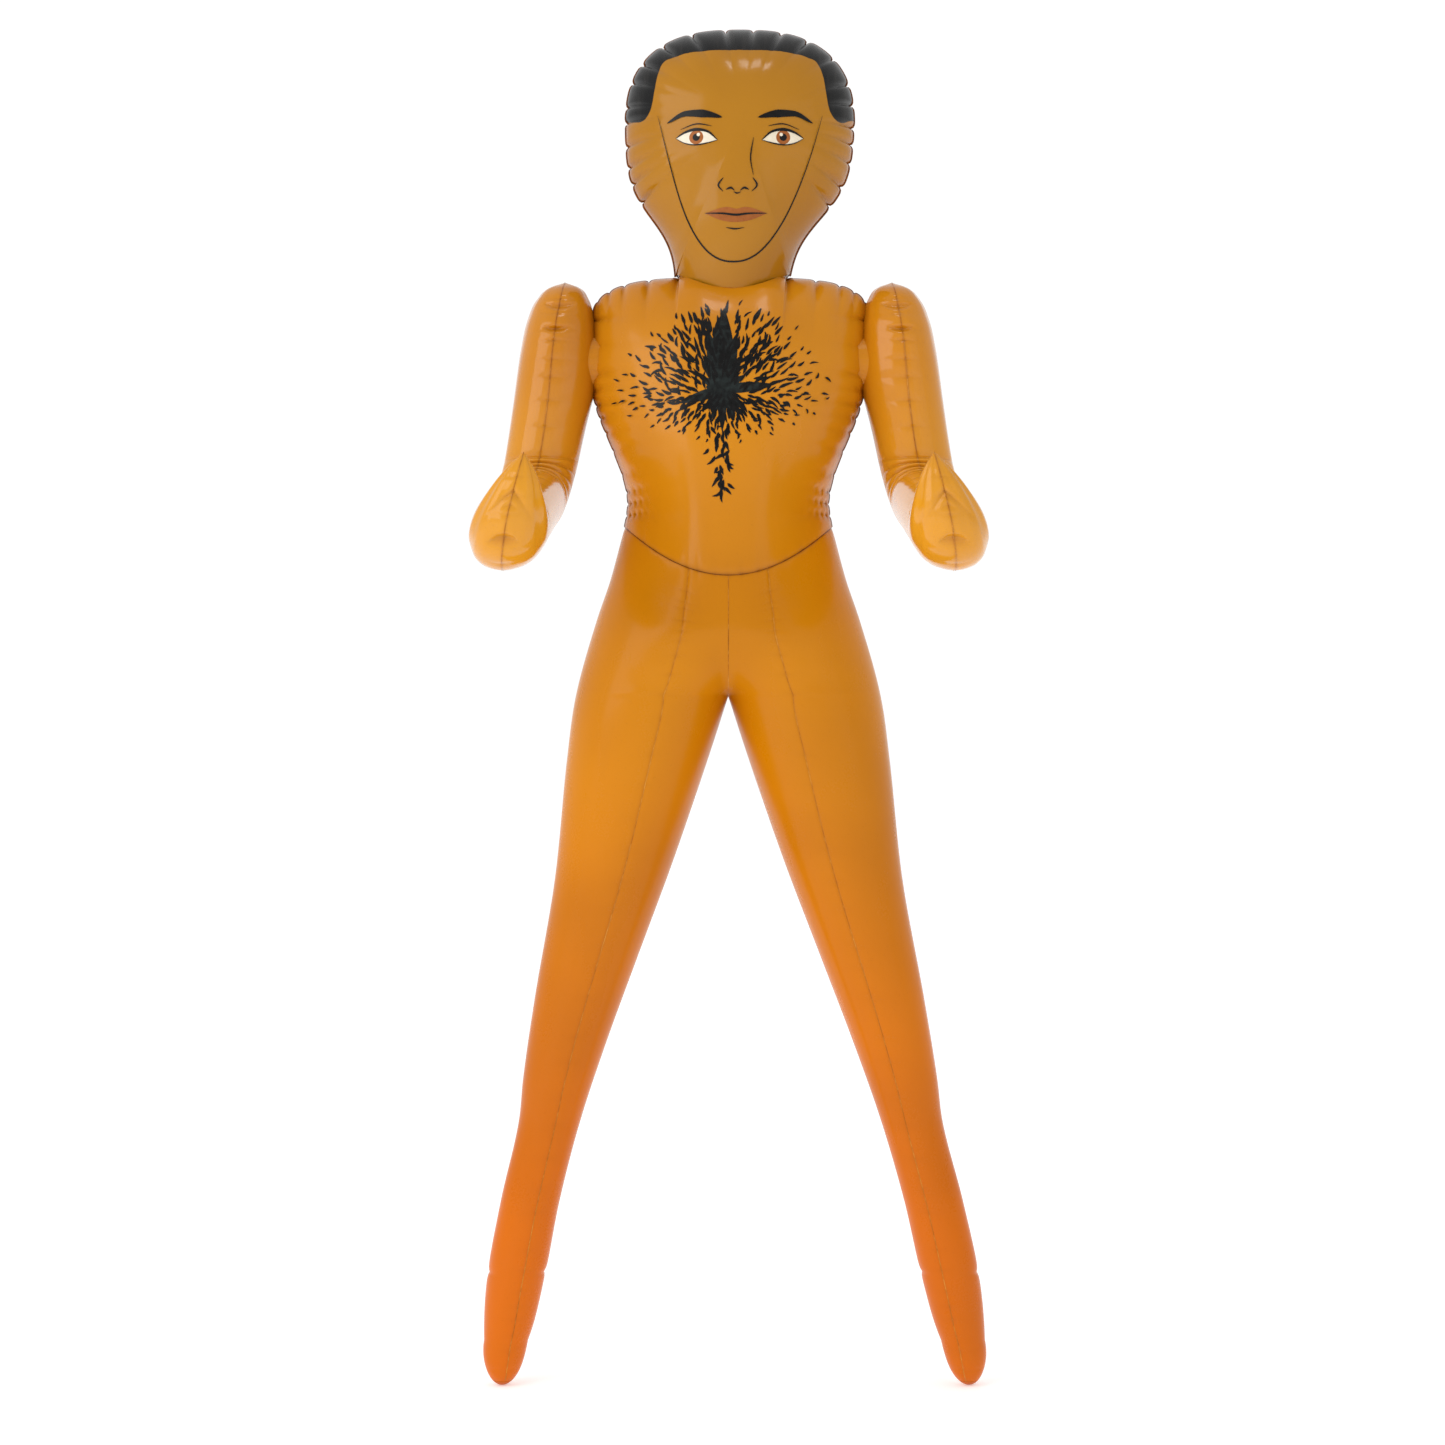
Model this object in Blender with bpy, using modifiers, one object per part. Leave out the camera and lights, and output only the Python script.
"""Air-filled vinyl standing figure, 1.5 m tall: flat film panels welded along their edges, and one valve.

Metres, +Z up. The origin is on the floor, midway between the feet. The figure faces -Y, so its own
left side is at +X. Each welded panel is a thin shell of its own, and panels that meet at a weld stay
GAP apart, because a weld is a line where two films touch and not a third piece.
"""

import math

import bmesh
import bpy
import numpy as np
from mathutils import Vector

# ---- driving dimensions ---------------------------------------------------------------------------
FILM = 0.0004                 # vinyl film thickness
GAP = 0.00025                 # half of the gap kept at each weld
BAND_GAP = 0.0009             # what a folding band leaves free above and below itself

# Levels, measured from the floor.
TOP_OF_HEAD = 1.501
WIDEST_OF_HEAD = 1.393
HEAD_CENTRE = 1.385           # where the head's panels bulge most
NECK_WELD = 1.210             # centre front of the curved weld between neck and chest
NECK_WELD_RISE = 0.021        # the weld climbs this much towards its two ends
NECK_BAND = 0.026             # height of the strip of film that folds when the head nods
SHOULDER_END = 1.190          # where the shoulder seam becomes the side seam
SHOULDER_RISE = 0.038
WAIST_WELD = 0.951            # level of the waist weld at the sides
WAIST_DIP = 0.057             # the weld sinks this much at the front and back
WAIST_BAND = 0.030            # height of the strip of film that folds at the waist
CROTCH = 0.764
TIP_ROUND = 0.050             # height over which a foot closes to its tip
TIP_RADIUS = 0.0245           # half-width of the foot just above that
TIP_CUT = 0.006               # the leg panels stop here, above the fused toe

# Half-widths and half-depths.
HEAD_HALF_WIDTH = 0.125
HEAD_HALF_DEPTH = 0.086
HEAD_SQUARENESS = 2.6
NECK_HALF_WIDTH = 0.060
NECK_HALF_DEPTH = 0.054
JAW_LEVEL = 1.296
JAW_SOFTNESS = 0.041
CHEST_HALF_WIDTH = 0.1525
WAIST_HALF_WIDTH = 0.115
SHOULDER_FILL = 0.075         # how far below the shoulder seam the chest fills out
NECK_FAN = 0.060              # how far down the chest the bulge under the neck reaches
NECK_SPREAD = 0.8             # how fast that bulge widens on its way down
HIP_SOFTNESS = 0.080          # how much of the crease between the hips the air rounds off
HIP_FOLD_LEVEL = 0.800        # above this the rows of the hips follow the dip of the waist weld

# Arms: each hangs in a surface that leans outwards, its outline an L with a rounded elbow.
ARM_TIP = 1.223
ARM_RADIUS = 0.041
SHOULDER_THICKNESS = 0.037
SHOULDER_BREADTH = 0.050
ELBOW_LEVEL = 0.970
ELBOW_RADIUS = 0.056
HAND_LEVEL = 0.934
HAND_REACH = 0.205
HAND_TIP = (-0.268, 1.012)    # y and z of the pointed end
HAND_KNUCKLE = (-0.262, 0.930)  # the corner that the hand's curl is pulled towards
PORT_LEVEL = 1.135
PORT_RADIUS = 0.030
PORT_WALL = 0.0015
PORT_CLEARANCE = 0.0004
PORT_ENDS = (0.138, 0.164)     # sideways places of the port ring's two rims
PORT_CUT = (0.156, 0.062)      # middle and length of the hole through chest and arm
VALVE_HOLE_CLEARANCE = 0.002
VALVE_CUT = (0.10, 0.06)       # middle and length of the hole for the valve in the back

# Filling valve, low on the back.
VALVE_LEVEL = 1.030
VALVE_SEAT = 0.1048           # how far back the flange's inner face lies
FLANGE_RADIUS = 0.017
FLANGE_THICKNESS = 0.0012
STEM_RADIUS = 0.0058
STEM_BORE = 0.0042
STEM_LENGTH = 0.017
STEM_INSIDE = 0.004
STOPPER_RADIUS = 0.0072
STOPPER_THICKNESS = 0.0022
PLUG_LENGTH = 0.0075
SLIDE_CLEARANCE = 0.0004
STRAP_COLLAR = 0.0022
STRAP_WALL = 0.0020
STRAP_WIDTH = 0.0045
STRAP_THICKNESS = 0.0012
STRAP_SETBACK = 0.0015         # how far behind the stem's mouth the strap's collar sits
STRAP_TRIM = 0.0002            # what the strip falls short of the collar's faces
FLAP_GAP = 0.0003              # left between the stem's inner end and the check flap
FLAP_THICKNESS = 0.0006
NECK_AXIS_RISE = 0.010         # the neck folds this much above the middle of its band
ROUND_STEPS = 32

SIDES = {"left": 1, "right": -1}


# ---- shape functions ------------------------------------------------------------------------------
def curve_through(knots):
    """A smooth function through a few (place, value) pairs: cubic pieces whose slopes never overshoot."""
    x, y = np.array(sorted(knots), float).T
    run, rise = np.diff(x), np.diff(y) / np.diff(x)
    slope = np.concatenate([[rise[0]], (rise[1:] + rise[:-1]) / 2, [rise[-1]]])
    slope[1:-1][rise[1:] * rise[:-1] <= 0] = 0

    def value(at):
        at = np.clip(at, x[0], x[-1])
        i = np.clip(np.searchsorted(x, at) - 1, 0, len(run) - 1)
        t = (at - x[i]) / run[i]
        bend = slope[i] * run[i] * t * (1 - t) ** 2 - slope[i + 1] * run[i] * t * t * (1 - t)
        return y[i] * (1 + 2 * t) * (1 - t) ** 2 + y[i + 1] * t * t * (3 - 2 * t) + bend

    return value


torso_half_width = curve_through([(0.951, 0.115), (0.978, 0.1115), (1.005, 0.116), (1.031, 0.1254),
                                  (1.0845, 0.1465), (1.120, 0.1525), (1.190, 0.1525)])
torso_half_depth = curve_through([(0.951, 0.100), (1.000, 0.101), (1.080, 0.110), (1.190, 0.112)])
leg_outer_edge = curve_through([(0.000, 0.262), (0.050, 0.278), (0.117, 0.2736), (0.205, 0.2564),
                                (0.294, 0.235), (0.339, 0.230), (0.427, 0.2165), (0.561, 0.193),
                                (0.694, 0.179), (0.760, 0.170), (0.849, 0.147), (0.894, 0.1315),
                                (0.951, 0.115)])
leg_inner_edge = curve_through([(0.000, 0.256), (0.050, 0.229), (0.117, 0.2098), (0.205, 0.191),
                                (0.294, 0.1665), (0.383, 0.136), (0.472, 0.1027), (0.583, 0.061),
                                (0.694, 0.0228), (CROTCH, 0.0)])
hip_centre = curve_through([(CROTCH, 0.085), (0.800, 0.062), (0.849, 0.033), (0.900, 0.012),
                            (0.951, 0.0)])
hip_half_depth = curve_through([(CROTCH, 0.088), (0.800, 0.098), (0.850, 0.104), (0.951, 0.100)])
leg_fullness = curve_through([(0.0, 1.0), (0.60, 1.0), (CROTCH, 0.088 / 0.085)])
arm_distance = curve_through([(0.893, 0.236), (0.940, 0.2275), (1.031, 0.2065), (1.085, 0.1985),
                              (1.160, 0.1910), (ARM_TIP, 0.1815)])
front_seam_angle = curve_through([(0.0, 1.29), (0.20, 1.27), (0.32, 1.335), (0.55, 1.345),
                                  (0.70, 1.355), (0.76, 1.385), (0.802, 1.56), (0.88, 1.855),
                                  (0.951, 1.955)])
figure_lean = curve_through([(0.0, 0.005), (0.12, 0.0025), (0.35, -0.001), (0.75, -0.003),
                             (1.12, -0.003), (1.25, 0.003), (1.36, 0.009), (1.50, 0.010)])


PORT_LEAN = float(figure_lean(PORT_LEVEL))
VALVE_LEAN = float(figure_lean(VALVE_LEVEL))


def waist_weld(x):
    """Height of the waist weld at sideways place x."""
    return WAIST_WELD - WAIST_DIP * np.clip(1 - (x / WAIST_HALF_WIDTH) ** 2, 0, 1)


def neck_weld(x):
    """Height of the weld between neck and chest at sideways place x."""
    return NECK_WELD + NECK_WELD_RISE * np.clip(np.abs(x) / NECK_HALF_WIDTH, 0, 1) ** 2


def shoulder_seam(x):
    """Height of the shoulder seam: nearly level, with a rounded end."""
    share = np.clip(1 - (np.abs(x) / CHEST_HALF_WIDTH) ** 4, 0, 1)
    return SHOULDER_END + SHOULDER_RISE * np.sqrt(share)


def head_half_width(z):
    """Half-width of the head below its widest level, down to the neck."""
    share = 0.5 + 0.5 * np.tanh((z - JAW_LEVEL) / JAW_SOFTNESS)
    return NECK_HALF_WIDTH + (HEAD_HALF_WIDTH - NECK_HALF_WIDTH) * share


# ---- modelling helpers ----------------------------------------------------------------------------
def clear_scene():
    for old in list(bpy.data.objects):
        bpy.data.objects.remove(old, do_unlink=True)


def new_collection(name):
    collection = bpy.data.collections.new(name)
    bpy.context.scene.collection.children.link(collection)
    return collection


def vinyl(name, colour, roughness=0.22, metallic=0.0):
    material = bpy.data.materials.new(name)
    material.use_nodes = True
    shader = material.node_tree.nodes["Principled BSDF"]
    shader.inputs["Base Color"].default_value = (*colour, 1.0)
    shader.inputs["Roughness"].default_value = roughness
    shader.inputs["Metallic"].default_value = metallic
    return material


def pivot(name, x, y, z):
    """An empty on a joint's axis, which carries the pieces that turn or slide with it."""
    empty = bpy.data.objects.new(name, None)
    empty.location = (x, y, z)
    parts.objects.link(empty)
    return empty


def add_object(name, mesh, material, carrier=None):
    """Makes an object of a mesh given in world coordinates, hung on the empty that carries it."""
    if carrier:
        mesh.transform(carrier.matrix_basis.inverted())
    mesh.materials.append(material)
    obj = bpy.data.objects.new(name, mesh)
    obj.parent = carrier
    parts.objects.link(obj)
    return obj


def sheet_mesh(name, grids, outward):
    """One open surface of grids of points that share edges, its faces turned the way outward says."""
    bm = bmesh.new()
    for grid in grids:
        rows = [[bm.verts.new(p) for p in row] for row in grid]
        for upper, lower in zip(rows[:-1], rows[1:]):
            for a, b, c, d in zip(upper[:-1], upper[1:], lower[1:], lower[:-1]):
                bm.faces.new((a, b, c, d))
    bmesh.ops.remove_doubles(bm, verts=bm.verts, dist=1e-6)
    bmesh.ops.recalc_face_normals(bm, faces=bm.faces)
    bm.normal_update()
    turned = sum(f.normal.dot(Vector(outward(f.calc_center_median()))) * f.calc_area() for f in bm.faces)
    if turned < 0:
        bmesh.ops.reverse_faces(bm, faces=bm.faces)
    for face in bm.faces:
        face.smooth = True
    mesh = bpy.data.meshes.new(name)
    bm.to_mesh(mesh)
    bm.free()
    return mesh


def film_panel(name, grids, outward, material, carrier=None):
    """A welded panel: an open surface given the film's thickness on its inner side."""
    obj = add_object(name, sheet_mesh(name, grids, outward), material, carrier)
    solidify = obj.modifiers.new("film", "SOLIDIFY")
    solidify.thickness = FILM
    solidify.offset = -1
    solidify.use_even_offset = False
    return obj


def turned(name, profile, centre, axis, material, carrier=None):
    """A piece turned about the Y or X axis through centre, from (radius, height) pairs, bottom first."""
    bm = bmesh.new()
    ring = [bm.verts.new((radius, 0, height)) for radius, height in profile]
    for a, b in zip(ring, ring[1:] + ring[:1]):
        bm.edges.new((a, b))
    bmesh.ops.spin(bm, geom=bm.verts[:] + bm.edges[:], cent=(0, 0, 0), axis=(0, 0, 1),
                   angle=2 * math.pi, steps=ROUND_STEPS, use_merge=True)
    bmesh.ops.remove_doubles(bm, verts=bm.verts, dist=1e-6)
    bmesh.ops.recalc_face_normals(bm, faces=bm.faces)
    for face in bm.faces:
        face.smooth = True
    turn = Vector((0, 0, 1)).rotation_difference(Vector(axis)).to_matrix()
    bmesh.ops.rotate(bm, verts=bm.verts, cent=(0, 0, 0), matrix=turn)
    bmesh.ops.translate(bm, verts=bm.verts, vec=centre)
    mesh = bpy.data.meshes.new(name)
    bm.to_mesh(mesh)
    bm.free()
    return add_object(name, mesh, material, carrier)


def cutter(name, radius, length, centre, axis):
    """A round cutter in the hidden collection."""
    bm = bmesh.new()
    bmesh.ops.create_cone(bm, cap_ends=True, segments=ROUND_STEPS, radius1=radius, radius2=radius,
                          depth=length)
    turn = Vector((0, 0, 1)).rotation_difference(Vector(axis)).to_matrix()
    bmesh.ops.rotate(bm, verts=bm.verts, cent=(0, 0, 0), matrix=turn)
    bmesh.ops.translate(bm, verts=bm.verts, vec=centre)
    return hidden_object(name, bm)


def box_cutter(name, size, centre):
    """A box in the hidden collection."""
    bm = bmesh.new()
    bmesh.ops.create_cube(bm, size=1)
    bmesh.ops.scale(bm, verts=bm.verts, vec=size)
    bmesh.ops.translate(bm, verts=bm.verts, vec=centre)
    return hidden_object(name, bm)


def hidden_object(name, bm):
    mesh = bpy.data.meshes.new(name)
    bm.to_mesh(mesh)
    bm.free()
    obj = bpy.data.objects.new(name, mesh)
    obj.hide_render = True
    obj.display_type = "WIRE"
    cutters.objects.link(obj)
    return obj


def cut(obj, tool):
    boolean = obj.modifiers.new(tool.name, "BOOLEAN")
    boolean.operation = "DIFFERENCE"
    boolean.object = tool


def leaning(x, y, z):
    """Stacks three arrays as points, with the slight sideways lean of the standing figure."""
    return np.stack(np.broadcast_arrays(x + figure_lean(z), y, z), axis=-1)


# ---- head -----------------------------------------------------------------------------------------
def head_outline():
    """The head panel's edge as (x, z, half-depth there): round the weld, then along the neck."""
    lower = neck_weld(NECK_HALF_WIDTH) + NECK_BAND
    jaw = np.linspace(lower, WIDEST_OF_HEAD, 9)
    turn = np.linspace(0, math.pi, 17)[1:-1]
    power = 2 / HEAD_SQUARENESS
    crown_x = HEAD_HALF_WIDTH * np.sign(np.cos(turn)) * np.abs(np.cos(turn)) ** power
    crown_z = WIDEST_OF_HEAD + (TOP_OF_HEAD - WIDEST_OF_HEAD) * np.sin(turn) ** power
    edge = head_half_width(lower)
    neck_x = -edge * np.cos(np.linspace(0, math.pi, 11))[1:-1]
    neck_z = neck_weld(neck_x / edge * NECK_HALF_WIDTH) + NECK_BAND
    x = np.concatenate([head_half_width(jaw), crown_x, -head_half_width(jaw[::-1]), neck_x])
    z = np.concatenate([jaw, crown_z, jaw[::-1], neck_z])
    depth = np.zeros(len(x))
    depth[-len(neck_x):] = NECK_HALF_DEPTH * np.sqrt(1 - (neck_x / edge) ** 2)
    return x, z, depth


def head_panel(name, facing, material, carrier):
    """A pillow half: the squared half-depth falls from the middle to its value at the edge."""
    x, z, depth = (np.append(line, line[0]) for line in head_outline())
    share = np.sin(np.linspace(0, math.pi / 2, 8))[:, None]
    half = np.sqrt(HEAD_HALF_DEPTH ** 2 * (1 - share ** 2) + share ** 2 * depth ** 2)
    level = HEAD_CENTRE + share * (z - HEAD_CENTRE)
    grid = leaning(share * x, facing * (half + GAP), level + GAP)
    return film_panel(name, [grid], lambda p: (0, facing, 0), material, carrier)


def make_head(material, carrier):
    head_panel("head_front_panel", -1, material, carrier)
    head_panel("head_back_panel", 1, material, carrier)


def make_neck_band(material):
    """The short tube of film between chest and head, which folds as the head nods."""
    turn = np.linspace(0, 2 * math.pi, 29)[None, :]
    climb = np.linspace(0, 1, 3)[:, None]
    low, high = NECK_HALF_WIDTH, head_half_width(neck_weld(NECK_HALF_WIDTH) + NECK_BAND)
    half_width = low + (high - low) * climb
    x = half_width * np.cos(turn)
    y = NECK_HALF_DEPTH * np.sin(turn) + 0 * climb
    level = neck_weld(NECK_HALF_WIDTH * np.cos(turn)) + BAND_GAP + (NECK_BAND - 2 * BAND_GAP) * climb
    film_panel("neck_band", [leaning(x, y, level)], lambda p: (p.x, p.y, 0), material)


# ---- torso ----------------------------------------------------------------------------------------
def torso_panel(name, facing, material, carrier):
    """Chest and belly: full depth along the middle, closing at the side and shoulder seams."""
    corner = math.asin(NECK_HALF_WIDTH / CHEST_HALF_WIDTH)
    middle = np.arcsin(np.sin(np.linspace(-math.pi / 2, math.pi / 2, 11)) * math.sin(corner))
    flank = np.linspace(corner, math.pi / 2, 9)[1:]
    turn = np.concatenate([-flank[::-1], middle, flank])[None, :]
    drop = (1 - np.cos(np.linspace(0, math.pi / 2, 13)))[:, None]
    side, front = np.sin(turn), np.cos(turn)
    bottom = WAIST_WELD + WAIST_BAND
    nominal = SHOULDER_END - (SHOULDER_END - bottom) * drop
    x = torso_half_width(nominal) * side
    upper = np.where(np.abs(CHEST_HALF_WIDTH * side) < NECK_HALF_WIDTH - 1e-6,
                     neck_weld(CHEST_HALF_WIDTH * side), shoulder_seam(CHEST_HALF_WIDTH * side))
    lower = waist_weld(WAIST_HALF_WIDTH * side) + WAIST_BAND
    z = upper + (lower - upper) * drop
    filled = 1 - np.exp(-(upper - z) / SHOULDER_FILL)
    body = torso_half_depth(nominal) ** 2 * front ** 2 * filled
    below_neck = np.clip(NECK_WELD - z, 0, None)
    fan = np.clip(1 - (x / (NECK_HALF_WIDTH + NECK_SPREAD * below_neck)) ** 2, 0, 1)
    fan = np.where(np.abs(side) * CHEST_HALF_WIDTH < NECK_HALF_WIDTH + 1e-6, fan, fan * (drop > 0))
    neck = NECK_HALF_DEPTH ** 2 * fan * np.exp(-below_neck / NECK_FAN)
    half = np.sqrt(body + neck)
    grid = leaning(x, facing * (half + GAP), z + GAP * (2 * drop - 1))
    obj = film_panel(name, [grid], lambda p: (0, facing, 0), material, carrier)
    for tool in port_cutters:
        cut(obj, tool)
    if facing > 0:
        cut(obj, valve_cutter)
    return obj


def make_torso(material, carrier):
    torso_panel("torso_front_panel", -1, material, carrier)
    torso_panel("torso_back_panel", 1, material, carrier)


def make_waist_band(material):
    """The ring of film above the waist weld, which folds as the figure bends at the waist."""
    turn = np.linspace(0, 2 * math.pi, 37)[None, :]
    climb = np.linspace(0, 1, 3)[:, None]
    side = np.cos(turn)
    nominal = WAIST_WELD + WAIST_BAND * climb
    x = torso_half_width(nominal) * side
    y = torso_half_depth(nominal) * np.sin(turn)
    z = waist_weld(WAIST_HALF_WIDTH * side) + BAND_GAP + (WAIST_BAND - 2 * BAND_GAP) * climb
    film_panel("waist_band", [leaning(x, y, z)], lambda p: (p.x, p.y, 0), material)


# ---- arms -----------------------------------------------------------------------------------------
def arm_path():
    """The arm's centre line as y and z, from the shoulder's tip round the elbow to the hand's tip."""
    upper = np.linspace(ARM_TIP, ELBOW_LEVEL + ELBOW_RADIUS, 9)
    bend = np.linspace(0, math.pi / 2, 6)[1:]
    fore = np.linspace(0, 1, 6)[1:]
    curl = np.linspace(0, 1, 9)[1:]
    start = np.array([-ELBOW_RADIUS, ELBOW_LEVEL])
    wrist = np.array([-HAND_REACH, HAND_LEVEL])
    knuckle = np.array(HAND_KNUCKLE)
    tip = np.array(HAND_TIP)
    down = np.stack([0 * upper, upper], 1)
    elbow = start + ELBOW_RADIUS * np.stack([np.cos(bend), -np.sin(bend)], 1) + [0, ELBOW_RADIUS]
    forearm = start + (wrist - start) * fore[:, None]
    t = curl[:, None]
    hand = wrist * (1 - t) ** 2 + 2 * knuckle * t * (1 - t) + tip * t * t
    return np.concatenate([down, elbow, forearm, hand])


arm_thickness = curve_through([(0.0, 0.0), (0.010, 0.017), (0.035, 0.031), (0.070, SHOULDER_THICKNESS),
                               (0.130, 0.0405), (0.200, ARM_RADIUS), (0.440, ARM_RADIUS),
                               (0.480, 0.037), (0.510, 0.025), (0.530, 0.013), (0.545, 0.0)])
arm_breadth = curve_through([(0.0, 0.0), (0.010, 0.020), (0.035, 0.041), (0.070, SHOULDER_BREADTH),
                             (0.130, 0.046), (0.200, ARM_RADIUS), (0.440, ARM_RADIUS),
                             (0.480, 0.036), (0.510, 0.022), (0.530, 0.011), (0.545, 0.0)])
ARM_LENGTH = 0.545


def arm_panel(name, side, outer, material, carrier):
    """Half of an arm's tube, on the outer or the inner side of the surface the arm hangs in."""
    path = arm_path()
    step = np.linalg.norm(np.diff(path, axis=0), axis=1)
    along = np.concatenate([[0], np.cumsum(step)])
    along *= ARM_LENGTH / along[-1]
    tangent = np.gradient(path, along, axis=0)
    tangent /= np.linalg.norm(tangent, axis=1)[:, None]
    normal = np.stack([-tangent[:, 1], tangent[:, 0]], 1)
    turn = np.linspace(0, math.pi, 9)[None, :]
    breadth = arm_breadth(along)[:, None]
    y = path[:, :1] + normal[:, :1] * breadth * np.cos(turn)
    z = path[:, 1:] + normal[:, 1:] * breadth * np.cos(turn)
    away = (arm_thickness(along)[:, None] * np.sin(turn) + GAP) * (1 if outer else -1)
    x = side * (arm_distance(z) + away) + PORT_LEAN
    obj = film_panel(name, [np.stack([x, y, z], -1)],
                     lambda p: (side if outer else -side, 0, 0), material, carrier)
    if not outer:
        cut(obj, port_cutters[0 if side > 0 else 1])
    return obj


def make_port(name, side, material, carrier):
    """The round weld through which the arm's air space opens into the chest."""
    outer = PORT_RADIUS - PORT_CLEARANCE
    inner = outer - PORT_WALL
    start, end = PORT_ENDS
    profile = [(inner, start), (outer, start), (outer, end), (inner, end)]
    turned(name, profile, (PORT_LEAN, 0, PORT_LEVEL), (side, 0, 0), material, carrier)


# ---- legs -----------------------------------------------------------------------------------------
def leg_centre(z):
    """Sideways place of the middle of a leg's section."""
    return np.where(z > CROTCH, hip_centre(z), (leg_outer_edge(z) + leg_inner_edge(z)) / 2)


def leg_radius(z):
    """Half-width of a leg's section, which closes like a round end at the foot."""
    closing = np.sqrt(np.clip(1 - np.clip(1 - z / TIP_ROUND, 0, 1) ** 2, 0, 1))
    return np.where(z < TIP_ROUND, TIP_RADIUS * closing, leg_outer_edge(z) - leg_centre(z))


def crotch_softening(z):
    """How far the crease of the centre seam is rounded off, between the waist and the crotch."""
    share = np.clip((z - CROTCH) / (WAIST_WELD - CROTCH), 0, 1)
    return HIP_SOFTNESS * share * (1 - share)


def leg_section(angle, z):
    """Points of a leg's skin: angle 0 faces the other leg, and a quarter turn faces forwards."""
    radius = leg_radius(z)
    depth = np.where(z > CROTCH, hip_half_depth(z), radius * leg_fullness(z))
    reach = leg_centre(z) - radius * np.cos(angle)
    x = np.sqrt(np.clip(reach ** 2 - crotch_softening(z) ** 2, 0, None))
    return x, -depth * np.sin(angle)


def centre_seam_angle(z):
    """Angle at which a leg's skin reaches the plane between the legs, 0 below the crotch."""
    share = (hip_centre(z) - crotch_softening(z)) / leg_radius(z)
    return np.where(z > CROTCH, np.arccos(np.clip(share, -1, 1)), 0.0)


def leg_rows():
    """Levels of the leg's rows, closer together at the crotch and at the foot."""
    hip = CROTCH + (WAIST_WELD - CROTCH) * np.linspace(1, 0, 9) ** 1.3
    shin = np.linspace(CROTCH, 2 * TIP_ROUND, 12)[1:]
    foot = TIP_ROUND * np.array([1.3, 0.8, 0.44, 0.22, TIP_CUT / TIP_ROUND])
    return np.concatenate([hip, shin, foot])[:, None]


def leg_points(side, angle, rows):
    """Points at these angles, with the top rows following the dip of the waist weld."""
    x, _ = leg_section(angle, rows)
    share = np.clip((rows - HIP_FOLD_LEVEL) / (WAIST_WELD - HIP_FOLD_LEVEL), 0, 1)
    share = share * share * (3 - 2 * share)
    z = rows + (waist_weld(x) - WAIST_WELD) * share - GAP * share
    y = leg_section(angle, rows)[1]
    return np.stack([side * (x + GAP) + figure_lean(z), y, z], -1)


def leg_outer_panel(name, side, material):
    rows = leg_rows()
    seam = front_seam_angle(rows)
    edge = GAP / leg_radius(rows)
    angle = seam + edge + (2 * math.pi - 2 * (seam + edge)) * np.linspace(0, 1, 11)[None, :]
    film_panel(name, [leg_points(side, angle, rows)], lambda p: (side, 0, 0), material)


def leg_inner_panel(name, side, material):
    """The inner panel runs from the front seam round between the legs to the back seam."""
    rows = leg_rows()
    seam = front_seam_angle(rows)
    start = centre_seam_angle(rows)
    edge = GAP / leg_radius(rows)
    share = np.linspace(0, 1, 5)[None, :]
    front = start + (seam - edge - start) * share
    grids = [leg_points(side, front, rows), leg_points(side, -front, rows)]
    film_panel(name, grids, lambda p: (-side, 0, 0), material)


def make_toe(name, side, material):
    """The fused end of a foot, where its seams run together."""
    rows = np.array([TIP_CUT - FILM, TIP_CUT / 2, TIP_CUT / 6, 0.0])[:, None]
    angle = np.linspace(0, 2 * math.pi, 15)[None, :]
    shell = leg_points(side, angle, rows)
    centre = shell[0, :-1].mean(axis=0)
    lid = np.stack([np.broadcast_to(centre, shell[0].shape), shell[0]])
    mesh = sheet_mesh(name, [lid, shell], lambda p: p - Vector(shell[:, :-1].mean(axis=(0, 1))))
    add_object(name, mesh, material)


# ---- valve ----------------------------------------------------------------------------------------
def make_valve(materials, carrier):
    """A flange welded to the film, a stem that presses in, a stopper that pulls out, and a check flap."""
    face = VALVE_SEAT + FLANGE_THICKNESS
    bore = STEM_RADIUS + SLIDE_CLEARANCE
    centre = (VALVE_LEAN, 0, VALVE_LEVEL)
    seat = [(bore, VALVE_SEAT), (FLANGE_RADIUS, VALVE_SEAT), (FLANGE_RADIUS, face), (bore, face)]
    turned("valve_flange", seat, centre, (0, 1, 0), materials["valve"], carrier)
    slide = pivot("valve_slide_axis", VALVE_LEAN, face, VALVE_LEVEL)
    inner, mouth = face - STEM_INSIDE, face + STEM_LENGTH
    stem = [(STEM_BORE, inner), (STEM_RADIUS, inner), (STEM_RADIUS, mouth), (STEM_BORE, mouth)]
    turned("valve_stem", stem, centre, (0, 1, 0), materials["valve"], slide)
    cap = mouth + 2 * GAP
    top = cap + STOPPER_THICKNESS
    plug = STEM_BORE - SLIDE_CLEARANCE
    shape = [(0.0, cap - PLUG_LENGTH), (plug, cap - PLUG_LENGTH), (plug, cap), (STOPPER_RADIUS, cap),
             (STOPPER_RADIUS, top), (0.0, top)]
    turned("valve_stopper", shape, centre, (0, 1, 0), materials["valve"], slide)
    make_strap(mouth, top, materials["valve"], slide)
    shut = inner - FLAP_GAP
    flap = [(0.0, shut - FLAP_THICKNESS), (STEM_RADIUS, shut - FLAP_THICKNESS), (STEM_RADIUS, shut),
            (0.0, shut)]
    hinge = pivot("check_flap_axis", VALVE_LEAN, shut - FLAP_THICKNESS / 2, VALVE_LEVEL + STEM_RADIUS)
    turned("check_flap", flap, centre, (0, 1, 0), materials["flap"], hinge)


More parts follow.
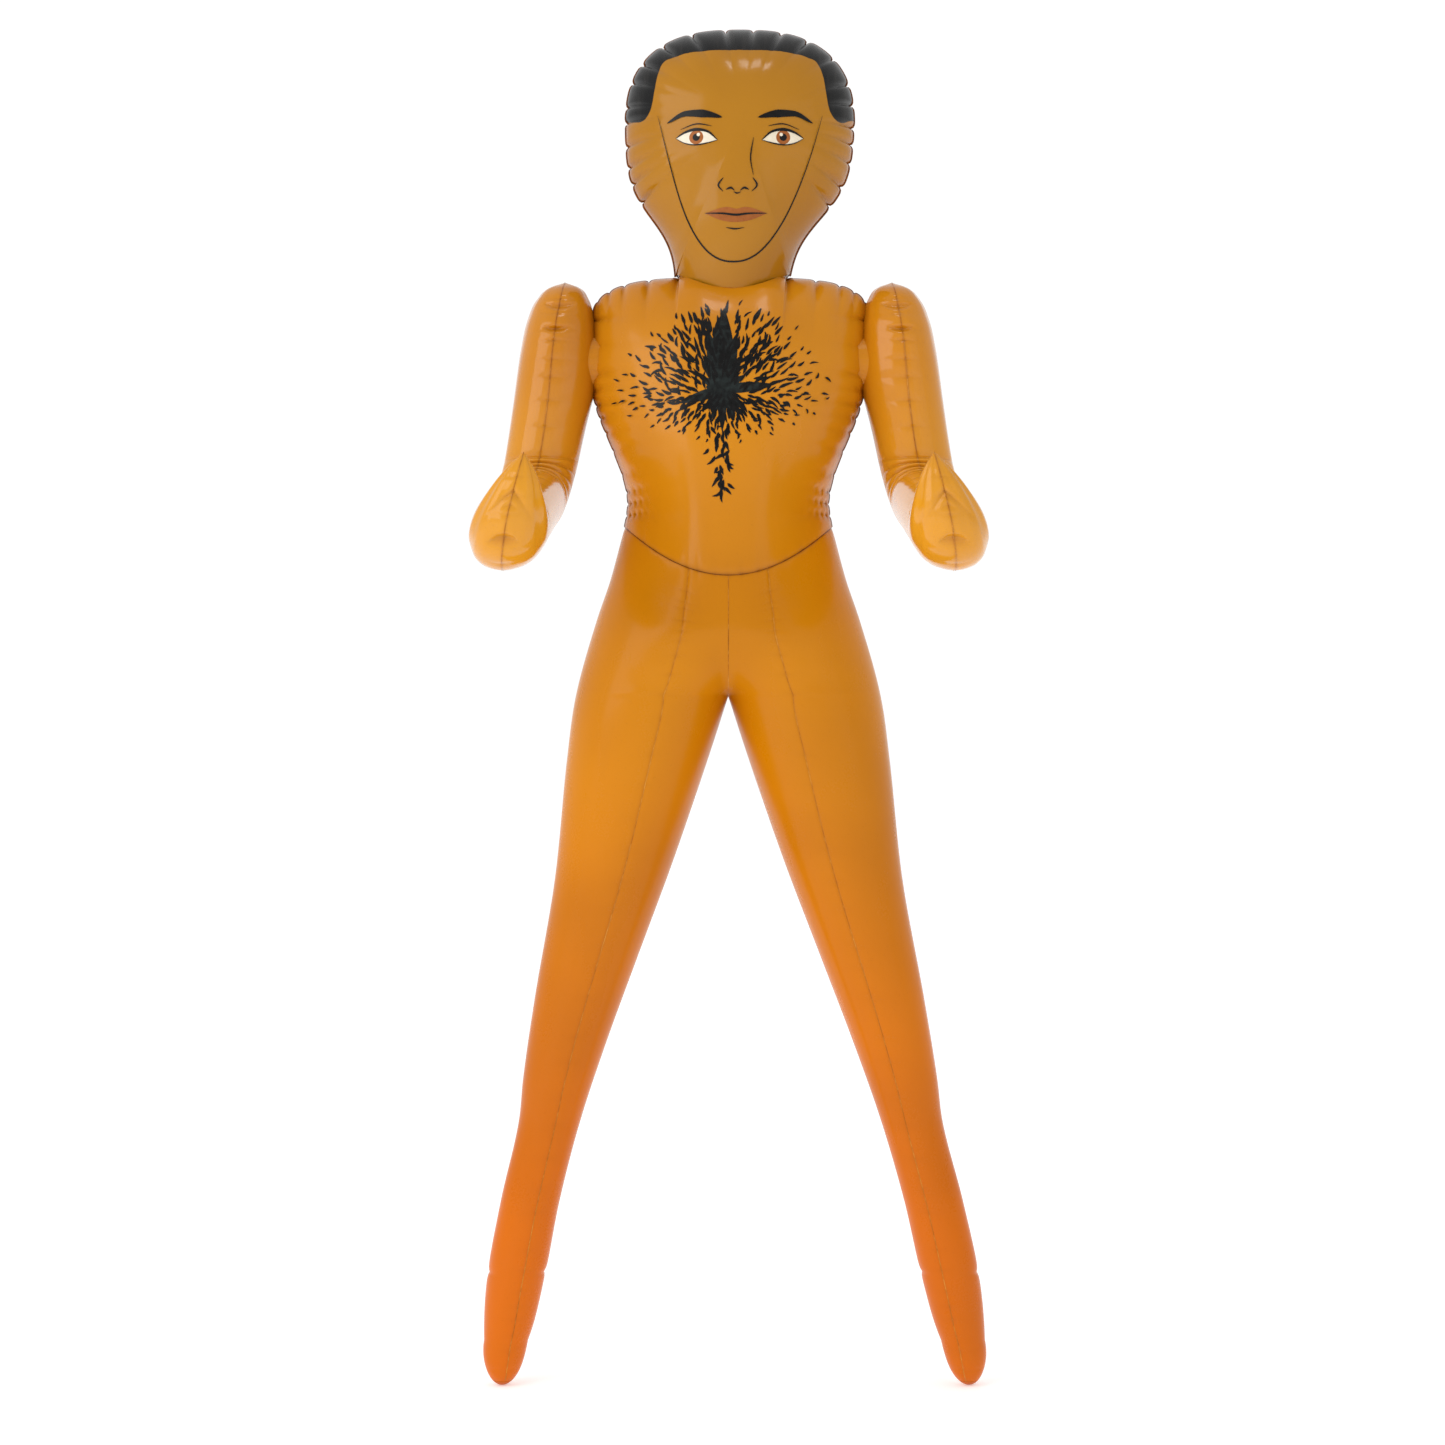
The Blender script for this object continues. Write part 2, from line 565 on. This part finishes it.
def make_strap(mouth, top, material, carrier):
    """A collar round the stem's mouth and the strip that ties the stopper to it, in one moulding."""
    low = mouth - STRAP_COLLAR - STRAP_SETBACK
    inside = STEM_RADIUS + 2 * GAP
    ring = [(inside, low), (inside + STRAP_WALL, low), (inside + STRAP_WALL, low + STRAP_COLLAR),
            (inside, low + STRAP_COLLAR)]
    strap = turned("valve_strap", ring, (VALVE_LEAN, 0, VALVE_LEVEL), (0, 1, 0), material, carrier)
    beside = STOPPER_RADIUS + 2 * GAP
    strip = box_cutter("strap_strip", (STRAP_WIDTH, top - low - 2 * STRAP_TRIM, STRAP_THICKNESS),
                       (VALVE_LEAN, (low + STRAP_TRIM + top) / 2, VALVE_LEVEL - beside - STRAP_THICKNESS / 2))
    boolean = strap.modifiers.new("strip", "BOOLEAN")
    boolean.operation = "UNION"
    boolean.object = strip


# ---- the figure -----------------------------------------------------------------------------------
clear_scene()
parts = new_collection("inflatable_standing_figure")
cutters = new_collection("cutters")
cutters.hide_render = True

port_cutters = [cutter(f"{side}_port_cutter", PORT_RADIUS, PORT_CUT[1],
                       (sign * PORT_CUT[0] + PORT_LEAN, 0, PORT_LEVEL), (1, 0, 0))
                for side, sign in SIDES.items()]
valve_cutter = cutter("valve_cutter", STEM_RADIUS + VALVE_HOLE_CLEARANCE, VALVE_CUT[1],
                      (VALVE_LEAN, VALVE_CUT[0], VALVE_LEVEL), (0, 1, 0))

amber = (0.66, 0.27, 0.025)
deep_amber = (0.70, 0.20, 0.012)
face_vinyl = vinyl("face vinyl", (0.50, 0.20, 0.04), 0.30)
body_vinyl = vinyl("body vinyl", amber)
arm_vinyl = vinyl("arm vinyl", amber)
leg_vinyl = vinyl("leg vinyl", deep_amber)
clear_vinyl = vinyl("valve vinyl", (0.62, 0.30, 0.06), 0.35)
flap_vinyl = vinyl("flap vinyl", (0.55, 0.40, 0.25), 0.4)

neck_axis = pivot("neck_axis", 0, 0, neck_weld(0) + NECK_BAND / 2 + NECK_AXIS_RISE)
waist_axis = pivot("waist_axis", 0, 0, WAIST_WELD - WAIST_DIP / 2 + WAIST_BAND / 2)
make_head(face_vinyl, neck_axis)
make_neck_band(face_vinyl)
make_torso(body_vinyl, waist_axis)
make_waist_band(body_vinyl)
for side_name, sign in SIDES.items():
    shoulder_axis = pivot(f"{side_name}_shoulder_axis", sign * CHEST_HALF_WIDTH + PORT_LEAN, 0, PORT_LEVEL)
    make_port(f"{side_name}_shoulder_port", sign, body_vinyl, waist_axis)
    arm_panel(f"{side_name}_arm_outer_panel", sign, True, arm_vinyl, shoulder_axis)
    arm_panel(f"{side_name}_arm_inner_panel", sign, False, arm_vinyl, shoulder_axis)
    leg_outer_panel(f"{side_name}_leg_outer_panel", sign, leg_vinyl)
    leg_inner_panel(f"{side_name}_leg_inner_panel", sign, leg_vinyl)
    make_toe(f"{side_name}_toe", sign, leg_vinyl)
make_valve({"valve": clear_vinyl, "flap": flap_vinyl}, waist_axis)
